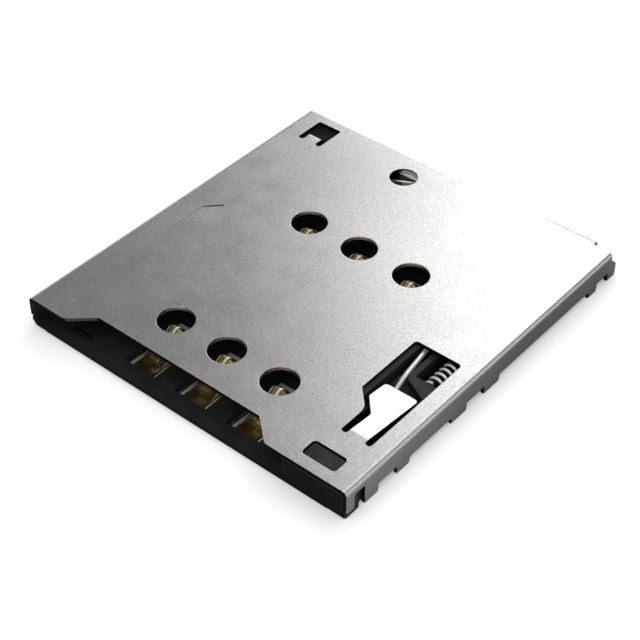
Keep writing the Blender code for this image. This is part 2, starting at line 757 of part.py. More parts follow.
def pivot_cutters():
    """A groove in the guide wall from the pivot half way to the knee of the link, and the pivot's hole."""
    pivot = Vector((PIVOT_X, PIVOT_Y))
    knee = Vector((LINK_KNEE_X, LINK_KNEE_Y))
    along = (knee - pivot).normalized() * (LINK_WIRE + RUN)
    aside = Vector((-along.y, along.x))
    start = pivot - along
    end = (pivot + knee) / 2
    groove = [start + aside, start - aside, end - GROOVE_FLARE * aside, end + GROOVE_FLARE * aside]
    yield prism("link_groove", [[tuple(p) for p in groove]], LINK_Z - LINK_WIRE - FIT, HEIGHT + OUTSIDE)
    hole = circle(PIVOT_X, PIVOT_Y, LINK_WIRE + FIT, PIN_STEPS)
    yield prism("pivot_hole", [hole], LINK_Z - PIVOT_DEPTH - FIT, HEIGHT + OUTSIDE)


def back_cutters():
    left = TAB_X - TAB_HALF - RUN
    right = TAB_X + TAB_HALF + RUN
    tab = box(left, right, TAB_BEND - RUN, TAB_FACE + RUN)
    depth = TAB_END - TAB_BEND - ARC + BEND
    yield prism("tab_pocket", [tab], HEIGHT - depth - RUN, HEIGHT + OUTSIDE)
    front = LEAF_TOUCH_Y - RUN
    back = PLATE_FRONT + PLATE_REACH + RUN
    room = box(LEAF_ANCHOR_X - LEAF_FOOT - RUN, PLATE_LEFT + PLATE_WIDTH + RUN, front, back)
    yield prism("switch_room", [room], FLOOR, HEIGHT + OUTSIDE)
    left = LEAF_ANCHOR_X - LEAF_FOOT - FIT
    half = SWITCH_SHEET / 2 + FIT
    tail = box(left, LEAF_ANCHOR_X + FIT, LEAF_ANCHOR_Y - half, BACK)
    yield prism("leaf_hole", [tail], -OUTSIDE, CONTACT_SHEET + FIT)
    stem = box(left, LEAF_ANCHOR_X + FIT, LEAF_ANCHOR_Y - half, LEAF_ANCHOR_Y + half)
    yield prism("leaf_stem_hole", [stem], -OUTSIDE, FLOOR + FIT)
    left = PLATE_LEFT - FIT
    right = PLATE_LEFT + PLATE_WIDTH + FIT
    tail = box(left, right, PLATE_FRONT - FIT, BACK)
    yield prism("plate_hole", [tail], -OUTSIDE, CONTACT_SHEET + FIT)
    stem = box(left, right, PLATE_FRONT - FIT, PLATE_FRONT + SWITCH_SHEET + 2 * FIT)
    yield prism("plate_stem_hole", [stem], -OUTSIDE, FLOOR + FIT)


def end_cutters():
    for name, left, right in (
        ("left_end", -WIDTH, -WIDTH / 2 + END_WIDTH),
        ("right_end", WIDTH / 2 - END_WIDTH, WIDTH),
    ):
        strip_box = box(left, right, FRONT - OUTSIDE, BACK + OUTSIDE)
        yield prism(name, [strip_box], -OUTSIDE, STAND_OFF + END_RISE)
    corner = -WIDTH / 2 + LUG_INSET
    low = STAND_OFF + END_RISE
    chamfer = [(low - OUTSIDE, corner - OUTSIDE), (low - OUTSIDE, corner + LUG_CHAMFER + OUTSIDE)]
    chamfer += [(low + LUG_CHAMFER + OUTSIDE, corner - OUTSIDE)]
    yield prism("lug_chamfer", [chamfer], FRONT - OUTSIDE, FRONT + LEFT_NOSE - FIT, "Y")


def housing_extras():
    """The boss of the pivot, the latch tooth under the cover and the lugs at the front corners."""
    boss = circle(PIVOT_X, PIVOT_Y, PIVOT_BOSS, PIN_STEPS)
    yield prism("pivot_boss", [boss], CHANNEL_FLOOR - FIT, LINK_Z - LINK_WIRE - FIT)
    back = LATCH_FRONT + LATCH_LENGTH - RUN
    front = LATCH_FRONT + RUN
    base = HOUSING_TOP - SHEET
    rise = HOUSING_TOP + LATCH_RISE
    tooth = [(front, base), (back, base), (back, rise), (back - LATCH_FLAT, rise)]
    tooth += [(front, HOUSING_TOP + FIT)]
    edge = LATCH_LEFT + RUN
    yield prism("latch_tooth", [tooth], edge, LATCH_LEFT + LATCH_WIDTH - RUN, "X")
    bottom = STAND_OFF + END_RISE
    side = -WIDTH / 2 + LUG_INSET
    lug = box(side, -HOUSING_HALF + LEFT_WALL, FRONT, FRONT + LEFT_NOSE - FIT)
    yield prism("left_lug", [lug], bottom, HEIGHT - LEFT_NOSE_DEPTH - FIT)
    inner = HOUSING_HALF - 2 * RIGHT_WALL
    outer = WIDTH / 2 - FIT
    low = [(inner, FRONT), (outer, FRONT, SMALL_CORNER)]
    low += [(outer, FRONT + NOTCH_FRONT + RUN), (inner, FRONT + NOTCH_FRONT + RUN)]
    yield prism("right_lug", [rounded(low)], bottom, HEIGHT - NOSE_DEPTH - FIT)
    post = box(inner, outer, FRONT + NOTCH_FRONT + FIT, FRONT + NOTCH_FRONT + POST_LENGTH)
    yield prism("right_post", [post], bottom, HEIGHT - NOTCH_DEPTH - RUN)


def make_housing():
    black = finish("black_plastic", (0.02, 0.02, 0.021), 0.45, 0)
    block = [rounded_box(-HOUSING_HALF, HOUSING_HALF, FRONT, HOUSING_BACK, SMALL_CORNER)]
    housing = prism("housing", block, STAND_OFF, HOUSING_TOP, material=black)
    for cutters in (card_cutters, channel_cutters):
        combine(housing, "DIFFERENCE", list(cutters()))
    combine(housing, "UNION", list(housing_extras()))
    for cutters in (pivot_cutters, back_cutters, contact_cutters, end_cutters):
        combine(housing, "DIFFERENCE", list(cutters()))


# Slider with the heart track


def track_outline():
    """The recess that the link's pin runs in, round the heart-shaped island."""
    play = LINK_WIRE + TRACK_PLAY
    left = PIN_X - TRACK_SHIFT - play
    right = PIN_X + TRACK_REACH
    end = PIN_Y - TRAVEL - play
    start = PIN_Y + TRACK_RAMP
    corners = [(PIN_X - play, start, play), (PIN_X + play, start, play)]
    corners += [(right, PIN_Y - TRACK_MOUTH, CORNER), (right, end + TRACK_TURN, CORNER)]
    corners += [(PIN_X + TRACK_TURN / 2, end, CORNER), (left, end, CORNER)]
    corners += [(left, PIN_Y - TRAVEL + TRACK_MOUTH, CORNER)]
    return rounded(corners)


def heart_outline():
    """The island that holds the pin in the notch at its front when the card is locked."""
    left = PIN_X - TRACK_SHIFT + LINK_WIRE + 2 * TRACK_PLAY
    right = PIN_X + TRACK_REACH - 2 * (LINK_WIRE + TRACK_PLAY)
    front = PIN_Y - TRAVEL + HEART_FRONT
    middle = (left + right) / 2
    shoulder = front + HEART_SIDE
    corners = [(left, front, TIGHT_CORNER), (middle, front + HEART_NOTCH, TIGHT_CORNER)]
    corners += [(right, front, TIGHT_CORNER), (right, shoulder, SMALL_CORNER)]
    corners += [(middle, PIN_Y - HEART_TIP, TIGHT_CORNER), (left, shoulder, SMALL_CORNER)]
    return rounded(corners)


def make_slider():
    grey = finish("slider_plastic", (0.05, 0.05, 0.052), 0.5, 0)
    left = CHANNEL_LEFT + RUN
    right = CHANNEL_RIGHT - RUN
    hook = CARD_RIGHT - HOOK_REACH
    arm = ARM_LEFT + ARM_WIDTH
    hook_front = HOOK_BACK - HOOK_LENGTH
    plan = [(left, SLIDER_FRONT, CORNER), (right, SLIDER_FRONT, CORNER), (right, SLIDER_BACK)]
    plan += [(arm, SLIDER_BACK), (arm, HOOK_BACK, SMALL_CORNER), (hook, HOOK_BACK, TIGHT_CORNER)]
    plan += [(hook, hook_front, SMALL_CORNER), (ARM_LEFT, hook_front, SMALL_CORNER)]
    plan += [(ARM_LEFT, SLIDER_BACK), (left, SLIDER_BACK)]
    slider = prism("slider", [rounded(plan)], SLIDER_BOTTOM, SLIDER_TOP, material=grey)
    rise = math.tan(math.radians(STEP_SLOPE))
    far = CHANNEL_RIGHT + OUTSIDE
    near = CHANNEL_LEFT - OUTSIDE
    deck = [(near, FRONT), (far, FRONT), (far, STEP_Y - (far - STEP_LEFT) * rise), (STEP_LEFT, STEP_Y)]
    deck += [(ARM_LEFT, SLIDER_BACK), (ARM_LEFT, SLIDER_BACK + RUN), (near, SLIDER_BACK + RUN)]
    cuts = [prism("deck_cutter", [deck], DECK, HEIGHT + OUTSIDE)]
    cuts.append(prism("track_cutter", [track_outline(), heart_outline()], TRACK_FLOOR, DECK + FIT))
    clear = box(hook - OUTSIDE, CHANNEL_LEFT + RUN, hook_front - RUN, HOOK_BACK + RUN)
    cuts.append(prism("hook_clearance", [clear], -OUTSIDE, FLOOR + FIT))
    combine(slider, "DIFFERENCE", cuts)
    set_origin(slider, (CHANNEL_LEFT + CHANNEL_WIDTH / 2, SLIDER_BACK, SLIDER_BOTTOM))


# Wire pieces


def wire(name, points, radius, material):
    curve = bpy.data.curves.new(name, "CURVE")
    curve.dimensions = "3D"
    curve.bevel_depth = radius
    curve.bevel_resolution = 2
    curve.use_fill_caps = True
    spline = curve.splines.new("POLY")
    spline.points.add(len(points) - 1)
    for point, place in zip(spline.points, points):
        point.co = (*place, 1)
    curve.materials.append(material)
    obj = bpy.data.objects.new(name, curve)
    PARTS.objects.link(obj)
    return obj


def make_spring():
    steel = finish("spring_steel", (0.75, 0.74, 0.72), 0.2, 1)
    half_wire = SPRING_WIRE / 2
    radius = SPRING_RADIUS - half_wire
    front = SLIDER_BACK + FIT + half_wire
    length = SPRING_WALL - FIT - half_wire - front
    points = []
    for i in range(SPRING_TURNS * TURN_STEPS + 1):
        turn = i / TURN_STEPS
        angle = 2 * math.pi * turn + math.pi / 2
        share = turn / SPRING_TURNS
        x = SPRING_X + radius * math.cos(angle)
        points.append((x, front + length * share, SPRING_Z + radius * math.sin(angle)))
    wire("return_spring", points, half_wire, steel)


def smooth_path(corners, reach, steps=ARC_STEPS):
    """A path through corners in which each inner corner is a short curve."""
    path = [corners[0]]
    for i in range(1, len(corners) - 1):
        here = Vector(corners[i])
        before = (Vector(corners[i - 1]) - here).normalized() * reach
        after = (Vector(corners[i + 1]) - here).normalized() * reach
        for step in range(steps + 1):
            t = step / steps
            path.append(tuple(here + (1 - t) ** 2 * before + t**2 * after))
    path.append(corners[-1])
    return path


def make_link():
    steel = finish("link_steel", (0.8, 0.79, 0.77), 0.15, 1)
    pin_top = LINK_Z - LINK_DIP
    corners = [(PIVOT_X, PIVOT_Y, LINK_Z - PIVOT_DEPTH), (PIVOT_X, PIVOT_Y, LINK_Z)]
    corners += [(LINK_KNEE_X, LINK_KNEE_Y, LINK_Z), (PIN_X, PIN_Y, pin_top), (PIN_X, PIN_Y, PIN_BOTTOM)]
    path = smooth_path(corners, LINK_ROUND)
    local = [tuple(Vector(p) - Vector((PIVOT_X, PIVOT_Y, LINK_Z))) for p in path]
    link = wire("cam_link", local, LINK_WIRE, steel)
    link.location = (PIVOT_X, PIVOT_Y, LINK_Z)


make_shell()
make_housing()
make_slider()
make_spring()
make_link()
make_contacts()
make_switch()
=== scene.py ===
"""The looks of the card socket: materials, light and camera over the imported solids, in metres."""

import json
import math

import bpy
from mathutils import Matrix, Vector


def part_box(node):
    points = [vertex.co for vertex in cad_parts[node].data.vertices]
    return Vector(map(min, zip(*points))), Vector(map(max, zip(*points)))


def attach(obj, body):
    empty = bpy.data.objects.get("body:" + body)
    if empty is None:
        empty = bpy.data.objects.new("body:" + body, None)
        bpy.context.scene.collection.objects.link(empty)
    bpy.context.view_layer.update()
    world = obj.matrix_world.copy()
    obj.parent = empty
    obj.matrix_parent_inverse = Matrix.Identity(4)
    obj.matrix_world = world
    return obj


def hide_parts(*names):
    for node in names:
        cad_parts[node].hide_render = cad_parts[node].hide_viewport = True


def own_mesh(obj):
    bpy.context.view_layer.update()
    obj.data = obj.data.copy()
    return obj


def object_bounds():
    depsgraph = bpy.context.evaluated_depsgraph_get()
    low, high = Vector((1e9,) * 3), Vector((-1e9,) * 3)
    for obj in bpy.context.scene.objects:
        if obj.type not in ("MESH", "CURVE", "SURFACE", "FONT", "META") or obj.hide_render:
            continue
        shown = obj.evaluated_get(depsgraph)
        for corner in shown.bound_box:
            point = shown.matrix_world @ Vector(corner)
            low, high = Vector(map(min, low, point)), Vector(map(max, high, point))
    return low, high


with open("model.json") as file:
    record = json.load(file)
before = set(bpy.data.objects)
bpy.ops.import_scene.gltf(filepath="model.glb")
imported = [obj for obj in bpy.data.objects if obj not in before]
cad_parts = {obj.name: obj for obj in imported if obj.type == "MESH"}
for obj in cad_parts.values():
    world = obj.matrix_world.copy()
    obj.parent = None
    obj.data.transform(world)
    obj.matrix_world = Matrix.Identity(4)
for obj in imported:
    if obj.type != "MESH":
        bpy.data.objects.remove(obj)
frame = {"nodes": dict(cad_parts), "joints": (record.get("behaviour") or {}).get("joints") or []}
CAD_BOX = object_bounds()
NODES = frame["nodes"]
MM = 0.001

# Camera, solved from the hole grid of the photograph
CAMERA_PLACE = (29.216 * MM, -35.396 * MM, 39.570 * MM)
CAMERA_AZIMUTH = 39.934
CAMERA_ELEVATION = 41.577
CAMERA_ROLL = 0.081
CAMERA_LENS = 87.84
SENSOR_WIDTH = 36

# Light
WORLD_GREY = 0.28
PANEL_DISTANCE = 200 * MM

# Floor: its glow, what that gains between two distances in metres, and its shade beside the part
FLOOR_SIZE = 4000 * MM
FLOOR_GLOW = 0.49
FAR_GLOW = 0.25
FAR_FROM, FAR_TO = 0.1, 0.4
FLOOR_SHADE = 0.58
FLOOR_SHADE_REACH = 1.0 * MM

# Places in millimetres from the middle of the part. A pair for a band is its middle and its half width.

# Cover
BOX_LOW, BOX_HIGH = CAD_BOX
BOX_WIDTH = (BOX_HIGH.x - BOX_LOW.x) / MM
BOX_LENGTH = (BOX_HIGH.y - BOX_LOW.y) / MM
OUTER_WALL = BOX_WIDTH / 2 - 0.03
# The fold's line near the back, painted dark as shade along the bend
FOLD_SHADE_ACROSS = (5.645, 1.17)
FOLD_SHADE_ALONG = (BOX_HIGH.y / MM - 0.205, 0.022)

# How far the floor still glows under the edges of the part; farther in, its glow stops as a painted shadow
# under the part
SHADOW_INSET = 0.35

# Painted shade: how much darker the cover is made towards the front left and the middle of the back
FRONT_PAINTED_SHADE = 0.17
BACK_PAINTED_SHADE = 0.11

# Engraved card mark: the level of its floor, and where its end painted pale as highlight turns to painted
# dark shade
MARK_FLOOR = (1.25, 0.008)
MARK_TURN = -6.5

# Holes over the contacts, and the painted highlight line along their rims
PITCH = 2.54
ROW_PITCH = 7.62
HOLE_REACH = 0.78
HOLE_FIELD = (0, 3.6)
RIM_HIGHLIGHT_LINE = (1.142, 0.012)

# Hole over the switch, and the part of its edge that is painted as a highlight
SWITCH_PLACE = (-1.556, 6.715)
SWITCH_REACH = 0.65
HIGHLIGHT_FROM = -1.95
HIGHLIGHT_LEVEL = (1.15, 0.035)

# Plastic: the levels of its floors and decks, and its share of grey for each kind of face as painted light
# and shade, divided to fit a ramp's 0 to 1
FLOOR_LEVEL = 0.5
DECK_LEVEL = 0.9
FULL_SHARE = 10
HOUSING_PAINTED_LIGHT = (3.5, 7.6, 4.2, 1)
SLIDER_PAINTED_LIGHT = (1, 1, 1, 0.5)

# Painted shade in the hollow under the hole of the back-left tab, and the share of light it keeps
SHADE_POCKET_ACROSS = (-6.45, 0.8)
SHADE_POCKET_ALONG = (7.1, 0.8)
SHADE_POCKET_SHARE = 0.3

# Contact, across from its middle line: its rails, the painted shadow lines beside them, the painted highlight
# lines along the beam, the curled tip's painted shade and the back bar painted pale as glow
NEAR_RAIL = (-0.6, 0.11)
NEAR_RAIL_SHADOW = (-0.635, 0.025)
BARE_RAIL = (-0.55, 0.06)
FAR_RAIL_SHADOW = (0.53, 0.06)
FAR_RAIL = (0.65, 0.06)
BEAM_EDGE_HIGHLIGHT = (-0.3, 0.03)
BEAM_HIGHLIGHT_LINE = (0.03, 0.05)
CURL_SHADE_ACROSS = (0.16, 0.15)
BACK_GLOW_ACROSS = (0, 0.71)

# Contact, along from the front of its frame, and above the board: where the rails' painted highlight fades,
# where the curled tip's painted shade lies and where the back bar painted pale as glow starts
CONTACT_TAIL = 0.35
CONTACT_ROW = 2.33
RAIL_HIGHLIGHT_FADE = 0.9
CURL_SHADE_ALONG = (2.045, 0.085)
BACK_GLOW_FROM = 2.56
BEAM_LEVEL = 0.4

# Switch leaf, from its contact end: where its painted highlight band lies, and its half width
LEAF_HIGHLIGHT = 0.3
LEAF_HIGHLIGHT_HALF = 0.17

# Spring: its turns, and the level under which it is painted dark as shade
SPRING_TURNS = 26
SPRING_HALF_WIRE = 0.056 * MM
TURN_STEPS = 20
SPRING_SHADE_LEVEL = 0.85

# Link: its path from its pivot in millimetres, how far its bends reach, and the level under which it is
# painted dark as shade
LINK_PATH = (
    (0, 0, -0.45),
    (0, 0, 0),
    (0.33, -2, 0),
    (0.52, -3.27, 0),
    (0.6, -4.15, -0.34),
    (0.6, -4.15, -0.52),
)
LINK_HALF_WIRE = 0.1 * MM
LINK_ROUND = 0.14
ROUND_STEPS = 6
LINK_SHADE_LEVEL = 0.6


# Node trees


def shade(value):
    """A colour for a socket, from a socket, a colour or one grey value."""
    if isinstance(value, bpy.types.NodeSocket):
        return value
    return (*value, 1) if isinstance(value, tuple) else (value, value, value, 1)


class Tree:
    """A short way to write a node tree: values and sockets are given as inputs by name."""

    def __init__(self, owner):
        owner.use_nodes = True
        self.tree = owner.node_tree
        self.tree.nodes.clear()

    def add(self, kind, settings=None, **inputs):
        node = self.tree.nodes.new(kind)
        for key, value in (settings or {}).items():
            setattr(node, key, value)
        for name, value in inputs.items():
            self.feed(node.inputs[name.replace("_", " ")], value)
        return node

    def feed(self, socket, value):
        if isinstance(value, bpy.types.NodeSocket):
            self.tree.links.new(value, socket)
        elif value is not None:
            socket.default_value = value

    def math(self, operation, a, b=None):
        node = self.add("ShaderNodeMath", {"operation": operation})
        self.feed(node.inputs[0], a)
        self.feed(node.inputs[1], b)
        return node.outputs[0]

    def both(self, a, b):
        """A mask where two masks lie over each other."""
        return self.math("MULTIPLY", a, b)

    def either(self, a, b):
        """A mask where one of two masks lies."""
        return self.math("MAXIMUM", a, b)

    def rest_of(self, mask):
        """A mask of all that a mask leaves out."""
        return self.math("SUBTRACT", 1, mask)

    def over(self, value, limit):
        """1 where the value is over the limit, and 0 elsewhere."""
        return self.math("GREATER_THAN", value, limit)

    def band(self, value, middle, half):
        """1 where the value lies within half of the middle, and 0 elsewhere."""
        return self.math("LESS_THAN", self.math("ABSOLUTE", self.math("SUBTRACT", value, middle)), half)

    def square_away(self, across, along, middle):
        """The square of the distance from a middle, seen from above."""
        from_x = self.math("SUBTRACT", across, middle[0])
        from_y = self.math("SUBTRACT", along, middle[1])
        return self.math("ADD", self.math("MULTIPLY", from_x, from_x), self.math("MULTIPLY", from_y, from_y))

    def disc(self, across, along, middle, radius):
        """1 within a radius of the middle, seen from above, and 0 elsewhere."""
        return self.math("LESS_THAN", self.square_away(across, along, middle), radius**2)

    def from_nearest(self, value, middle, step):
        """The distance from the nearest place of a row of places one step apart."""
        shifted = self.math("ADD", self.math("SUBTRACT", value, middle), step / 2)
        return self.math("SUBTRACT", self.math("FLOORED_MODULO", shifted, step), step / 2)

    def share_of(self, value, whole):
        """Where a value lies in a whole with its middle at 0, from 0 at one end to 1 at the other."""
        return self.math("ADD", self.math("DIVIDE", value, whole), 0.5)

    def place(self):
        """The point on the object at rest, in millimetres."""
        source = self.add("ShaderNodeTexCoord")
        scaled = self.add("ShaderNodeVectorMath", {"operation": "SCALE"}, Scale=1 / MM)
        self.feed(scaled.inputs[0], source.outputs["Object"])
        return scaled.outputs[0]

    def tilt(self):
        """The parts of a face's own normal."""
        return self.split(self.add("ShaderNodeNewGeometry").outputs["True Normal"])

    def split(self, vector):
        node = self.add("ShaderNodeSeparateXYZ", Vector=vector)
        return node.outputs["X"], node.outputs["Y"], node.outputs["Z"]

    def noise(self, place, scale, detail=3, roughness=0.55):
        node = self.add("ShaderNodeTexNoise", Vector=place, Scale=scale, Detail=detail, Roughness=roughness)
        return node.outputs["Fac"]

    def ramp(self, value, *stops):
        """A colour ramp through (position, colour), where a colour may be one grey value."""
        node = self.add("ShaderNodeValToRGB", Fac=value)
        elements = node.color_ramp.elements
        while len(elements) < len(stops):
            elements.new(0.5)
        for element, (position, colour) in zip(elements, stops):
            element.position = position
            element.color = shade(colour)
        return node.outputs["Color"]

    def mix(self, share, a, b):
        node = self.add("ShaderNodeMix", {"data_type": "RGBA"})
        self.feed(node.inputs["Factor"], share)
        self.feed(node.inputs[6], shade(a))
        self.feed(node.inputs[7], shade(b))
        return node.outputs[2]

    def round_edges(self, radius):
        return self.add("ShaderNodeBevel", {"samples": 6}, Radius=radius).outputs["Normal"]

    def bump(self, height, strength, distance, normal=None):
        node = self.add("ShaderNodeBump", Height=height, Strength=strength, Distance=distance, Normal=normal)
        return node.outputs["Normal"]

    def surface(self, **inputs):
        shader = self.add("ShaderNodeBsdfPrincipled", **inputs)
        self.add("ShaderNodeOutputMaterial", Surface=shader.outputs["BSDF"])


def new_material(name):
    material = bpy.data.materials.new(name)
    return material, Tree(material)


# Cover


def steel_face(tree, place, grain, length):
    """The sheet's flat faces: mottled, with painted shade in two areas, the fold's line painted dark as
    shade, and the engraved mark painted pale as highlight at one end and dark as shade elsewhere.
    """
    across, along, up = tree.split(place)
    breadth = tree.share_of(across, BOX_WIDTH)
    mottle_and_shade = tree.ramp(grain, (0.3, (0.53, 0.525, 0.51)), (0.7, (0.73, 0.727, 0.718)))
    # Painted shade: darker towards the front left and the middle of the back
    front = tree.ramp(length, (0.1, FRONT_PAINTED_SHADE), (0.47, 0))
    front = tree.math("MULTIPLY", front, tree.ramp(breadth, (0.35, 1), (0.68, 0)))
    back = tree.ramp(length, (0.68, 0), (0.86, BACK_PAINTED_SHADE))
    back = tree.math("MULTIPLY", back, tree.ramp(breadth, (0.1, 0), (0.3, 1), (0.5, 1), (0.72, 0)))
    mottle_and_shade = tree.mix(tree.math("ADD", front, back), mottle_and_shade, 0)
    # Painted shade: a dark line along the fold near the back
    fold_shade = tree.both(tree.band(along, *FOLD_SHADE_ALONG), tree.band(across, *FOLD_SHADE_ACROSS))
    mottle_and_shade = tree.mix(fold_shade, mottle_and_shade, 0.12)
    # The engraved mark, painted pale as highlight at its left end and dark as shade elsewhere
    engraved = tree.both(tree.band(up, *MARK_FLOOR), tree.math("LESS_THAN", across, 0))
    mark_highlight_and_shade = tree.mix(tree.over(across, MARK_TURN), (0.36, 0.355, 0.345), (0.06, 0.058, 0.055))
    return tree.mix(engraved, mottle_and_shade, mark_highlight_and_shade)


def steel_edge(tree, up, toward, hole, painted_highlight):
    """The sheet's cut edges: painted bright as highlight on the far rims of the holes and along the switch
    hole's edge, and painted dark as shade elsewhere.
    """
    # Painted highlight on rims that face the front, painted shade on the rest
    rim = tree.ramp(toward, (0.1, (0.13, 0.13, 0.125)), (0.6, (1, 0.97, 0.9)))
    rim = tree.mix(tree.band(up, *RIM_HIGHLIGHT_LINE), rim, 1)
    # Painted shade on the other cut edges, darkest where they face the front
    edge_shade = tree.ramp(toward, (0.6, 0.1), (0.9, 0.01))
    return tree.mix(painted_highlight, tree.mix(hole, edge_shade, rim), (1, 0.99, 0.97))


def steel_sheet(hole_x, hole_y):
    """Stainless sheet: bright on its flat faces, with the side walls painted darker as shade, most towards
    the back, and most cut edges painted dark as shade.
    """
    material, tree = new_material("stainless_sheet")
    place = tree.place()
    across, along, up = tree.split(place)
    grain = tree.noise(place, scale=17, detail=1, roughness=0.5)
    cloud = tree.noise(place, scale=0.9)
    length = tree.share_of(along, BOX_LENGTH)
    tilt_y, level = tree.tilt()[1:]
    toward = tree.math("MULTIPLY", tilt_y, -1)
    upright = tree.ramp(tree.math("ABSOLUTE", level), (0.12, 1), (0.4, 0))
    from_x = tree.from_nearest(across, hole_x, PITCH)
    from_y = tree.from_nearest(along, hole_y, ROW_PITCH)
    hole = tree.both(tree.disc(from_x, from_y, (0, 0), HOLE_REACH), tree.band(across, *HOLE_FIELD))
    # Painted highlight along part of the switch hole's edge
    painted_highlight = tree.both(tree.disc(across, along, SWITCH_PLACE, SWITCH_REACH), tree.over(across, HIGHLIGHT_FROM))
    painted_highlight = tree.both(painted_highlight, tree.band(up, *HIGHLIGHT_LEVEL))
    wall = tree.over(tree.math("ABSOLUTE", across), OUTER_WALL)
    # Painted shade on the side walls, darkest towards the back
    wall_shade = tree.ramp(length, (0, (0.14, 0.14, 0.139)), (0.35, 0.07), (0.6, 0.02), (1, 0.002))
    side = tree.mix(wall, steel_edge(tree, up, toward, hole, painted_highlight), wall_shade)
    colour = tree.mix(upright, steel_face(tree, place, grain, length), side)
    dull = tree.both(tree.both(upright, tree.over(toward, 0.8)), tree.rest_of(hole))
    rough = tree.mix(dull, tree.ramp(cloud, (0.3, 0.27), (0.7, 0.33)), 0.95)
    metal = tree.rest_of(tree.math("MULTIPLY", tree.both(painted_highlight, upright), 0.8))
    radius = tree.math("ADD", tree.math("MULTIPLY", hole, 0.02 * MM), 0.018 * MM)
    normal = tree.bump(grain, 0.4, 0.006 * MM, tree.round_edges(radius))
    tree.surface(Base_Color=colour, Metallic=metal, Roughness=rough, Normal=normal)
    return material


# Plastic, wires, contacts and switch


def moulded_plastic(name, grey, gloss, painted_light):
    """Black plastic painted with light and shade: a share of the grey each for low floors, high decks,
    upright faces and front faces.
    """
    material, tree = new_material(name)
    place = tree.place()
    across, along, up = tree.split(place)
    tilt_y, level = tree.tilt()[1:]
    floor, deck, upright, front = (share / FULL_SHARE for share in painted_light)
    # Painted light and shade: the grey scaled by level and by which way faces look
    flat = tree.ramp(up, (FLOOR_LEVEL, floor), (DECK_LEVEL, deck))
    standing = tree.ramp(tree.math("MULTIPLY", tilt_y, -1), (0.7, upright), (0.95, front))
    share = tree.mix(tree.over(level, 0.6), standing, flat)
    grain = tree.noise(place, scale=22, detail=4, roughness=0.6)
    cloud = tree.noise(place, scale=1.1, detail=2)
    spread = tree.math("MULTIPLY", tree.math("ADD", cloud, 0.5), FULL_SHARE * grey)
    # Painted shade in the hollow under the back-left tab's hole
    pocket_shade = tree.both(tree.band(across, *SHADE_POCKET_ACROSS), tree.band(along, *SHADE_POCKET_ALONG))
    pocket_shade = tree.rest_of(tree.math("MULTIPLY", pocket_shade, 1 - SHADE_POCKET_SHARE))
    colour = tree.math("MULTIPLY", tree.math("MULTIPLY", share, spread), pocket_shade)
    rough = tree.ramp(grain, (0.3, 0.42), (0.75, 0.6))
    normal = tree.bump(grain, 0.25, 0.01 * MM, tree.round_edges(0.03 * MM))
    tree.surface(Base_Color=colour, Roughness=rough, Specular_IOR_Level=gloss, Normal=normal)
    return material


def wire_steel(name, metal, shade_below):
    """Drawn wire with a pale plating, which is partly metal, and painted dark as shade low down inside the
    part.
    """
    material, tree = new_material(name)
    place = tree.place()
    up = tree.split(place)[2]
    streak = tree.noise(place, scale=14, detail=4, roughness=0.6)
    colour = tree.ramp(streak, (0.3, 0.9), (0.7, (1, 0.99, 0.97)))
    # Painted shade low down inside the part
    colour = tree.mix(tree.math("LESS_THAN", up, shade_below), colour, (0.035, 0.032, 0.025))
    rough = tree.ramp(streak, (0.3, 0.2), (0.8, 0.32))
    normal = tree.bump(streak, 0.1, 0.004 * MM)
    tree.surface(Base_Color=colour, Metallic=metal, Roughness=rough, Specular_IOR_Level=0.8, Normal=normal)
    return material


